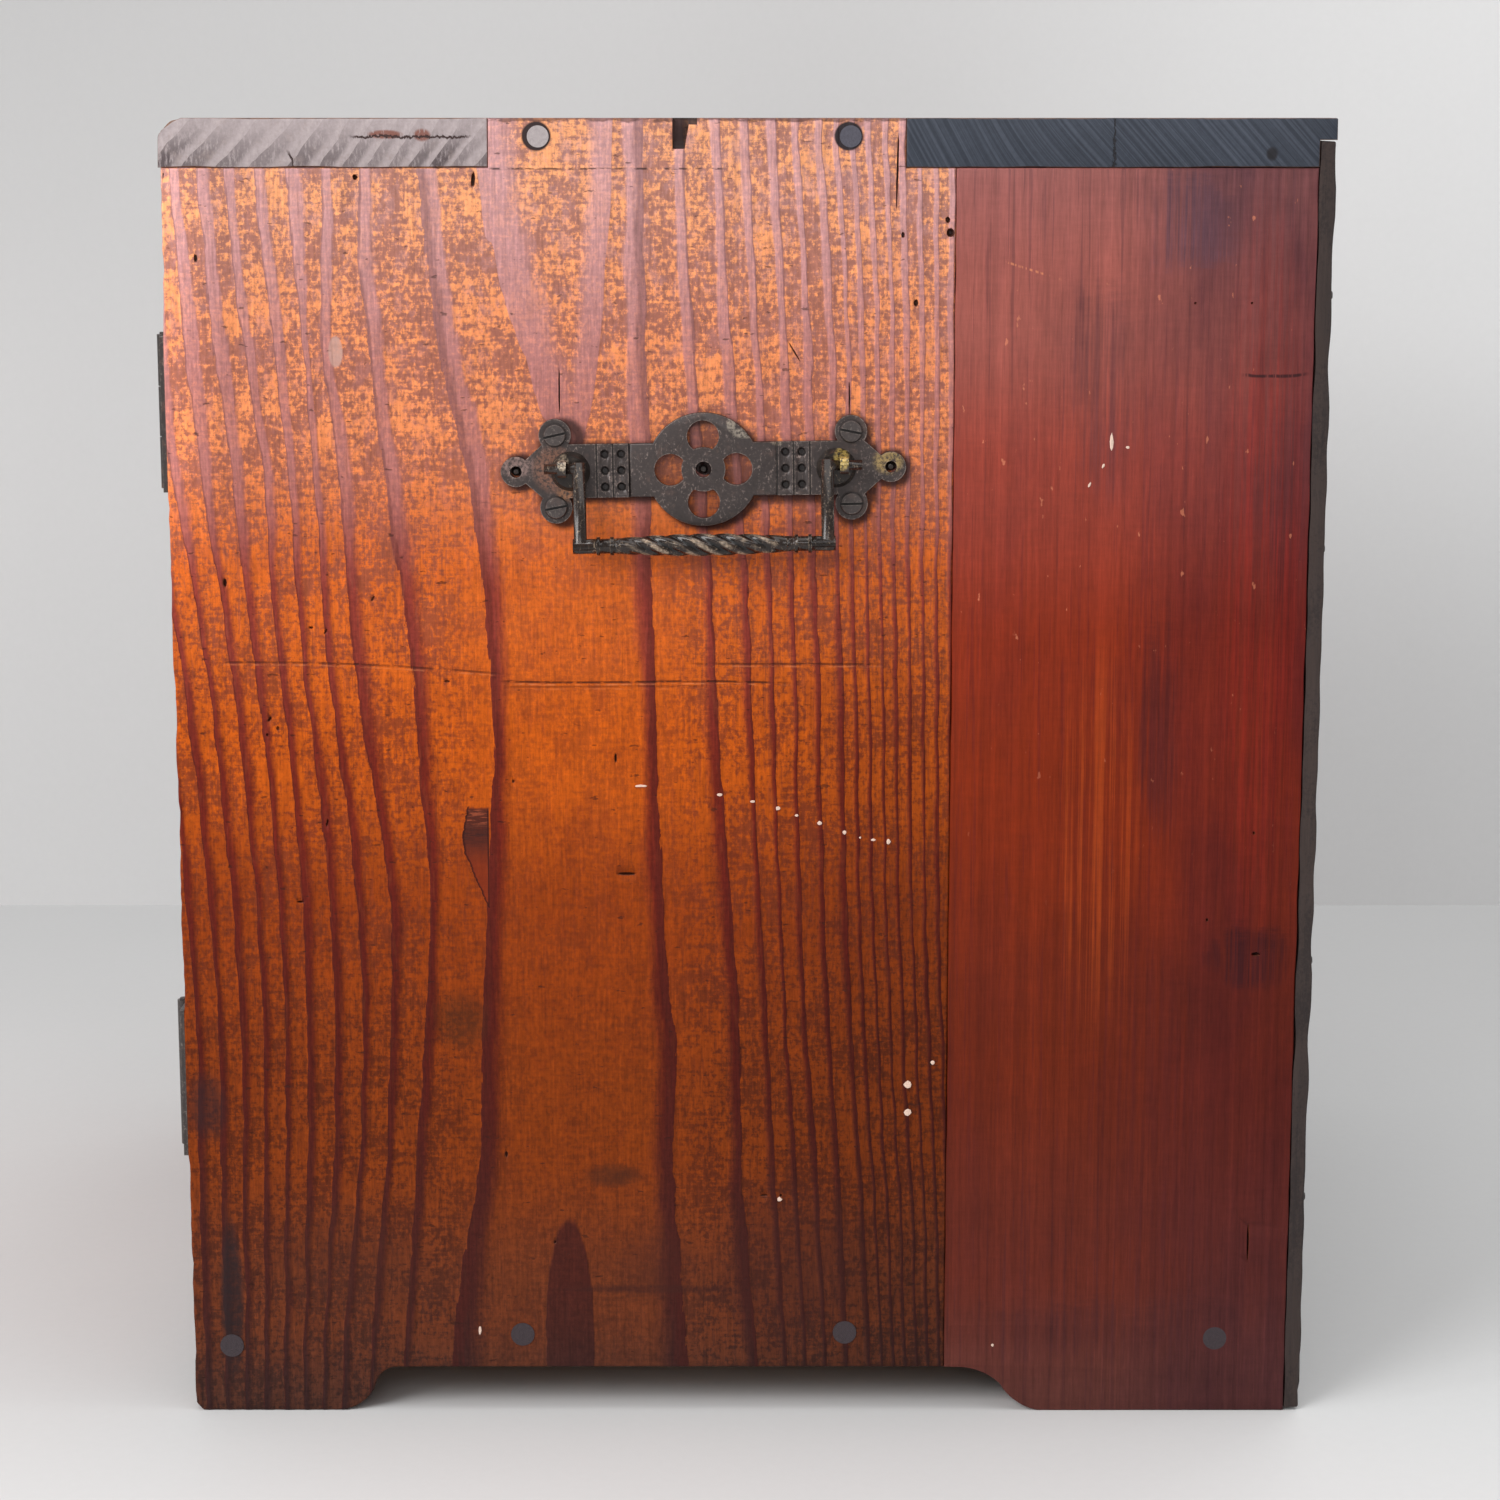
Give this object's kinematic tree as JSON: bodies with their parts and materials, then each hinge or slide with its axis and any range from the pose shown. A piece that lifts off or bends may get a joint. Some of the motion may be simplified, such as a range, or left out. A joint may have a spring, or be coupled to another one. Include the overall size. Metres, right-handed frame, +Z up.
{
  "type": "ship chest",
  "caption": "Upright wooden ship's chest with a full-height front door, arched feet, pegged tabs, and iron bail handles with twisted grips on both sides.",
  "frame": {"origin": "on the floor, below the middle of the whole chest with its pull and handles", "axes": "+Z up, the door faces -Y, and +X is to the right of someone who faces the door"},
  "size_m": [0.4674, 0.4489, 0.5],
  "materials": {
    "side_front_wood": "old lacquered softwood, orange brown with dark bands",
    "side_rear_wood": "old lacquered softwood, deep red brown",
    "top_front_wood": "bare greyed end grain",
    "top_rear_wood": "dark stained end grain",
    "door_wood": "old lacquered softwood, red brown",
    "inner_wood": "bare aged softwood",
    "back_wood": "bare darkened softwood",
    "peg_wood": "bare hardwood",
    "handle_iron": "forged, dark and rubbed, with rust in the hollows",
    "door_iron": "forged, dark",
    "nail_iron": "forged, rusted"
  },
  "bodies": {
    "case": {"back_left_board": "back_wood", "back_middle_board": "back_wood", "back_nails": "nail_iron", "back_right_board": "back_wood", "bottom_front_board": "inner_wood", "bottom_rear_board": "inner_wood", "hinge_case_nails": "nail_iron", "left_bottom_pegs": "peg_wood", "left_handle_nails": "handle_iron", "left_handle_plate": "handle_iron", "left_handle_posts": "handle_iron", "left_handle_screws": "handle_iron", "left_side_front_board": "side_front_wood", "left_side_rear_board": "side_rear_wood", "left_tab_pegs": "peg_wood", "lower_hinge_case_leaf": "door_iron", "lower_hinge_pin": "door_iron", "right_bottom_pegs": "peg_wood", "right_handle_nails": "handle_iron", "right_handle_plate": "handle_iron", "right_handle_posts": "handle_iron", "right_handle_screws": "handle_iron", "right_side_front_board": "side_front_wood", "right_side_rear_board": "side_rear_wood", "right_tab_pegs": "peg_wood", "shelf": "inner_wood", "side_door_stop": "inner_wood", "strike_plate": "door_iron", "top_door_stop": "inner_wood", "top_front_board": "top_front_wood", "top_rear_board": "top_rear_wood", "upper_hinge_case_leaf": "door_iron", "upper_hinge_pin": "door_iron"},
    "door": {"door_left_plank": "door_wood", "door_right_plank": "door_wood", "door_top_cleat": "door_wood", "door_bottom_cleat": "door_wood", "hinge_door_nails": "nail_iron", "upper_hinge_door_leaf": "door_iron", "lower_hinge_door_leaf": "door_iron", "keyhole_plate": "door_iron", "lock_case": "door_iron", "pull_post": "door_iron", "pull_rose": "door_iron"},
    "bolt": {"lock_bolt": "door_iron"},
    "ring": {"pull_ring": "door_iron"},
    "right_bail": {"right_bail": "handle_iron"},
    "left_bail": {"left_bail": "handle_iron"}
  },
  "joints": [
    {"name": "door_hinge", "type": "hinge", "parent": "case", "child": "door", "pos_m": [0.202, -0.2129, 0.2615], "axis": [0, 0, 1], "range_deg": [0, 175]},
    {"name": "bolt_slide", "type": "slide", "parent": "door", "child": "bolt", "axis": [-1, 0, 0], "range_m": [0, 0.009]},
    {"name": "ring_swing", "type": "hinge", "parent": "door", "child": "ring", "pos_m": [-0.1745, -0.2191, 0.322], "axis": [-1, 0, 0], "range_deg": [-8, 188]},
    {"name": "right_bail_swing", "type": "hinge", "parent": "case", "child": "right_bail", "pos_m": [0.2295, -0.00952, 0.3726], "axis": [0, -0.9999, -0.014], "range_deg": [-8, 188]},
    {"name": "left_bail_swing", "type": "hinge", "parent": "case", "child": "left_bail", "pos_m": [-0.2295, -0.00948, 0.3726], "axis": [0, 0.9999, -0.014], "range_deg": [-8, 188]}
  ]
}
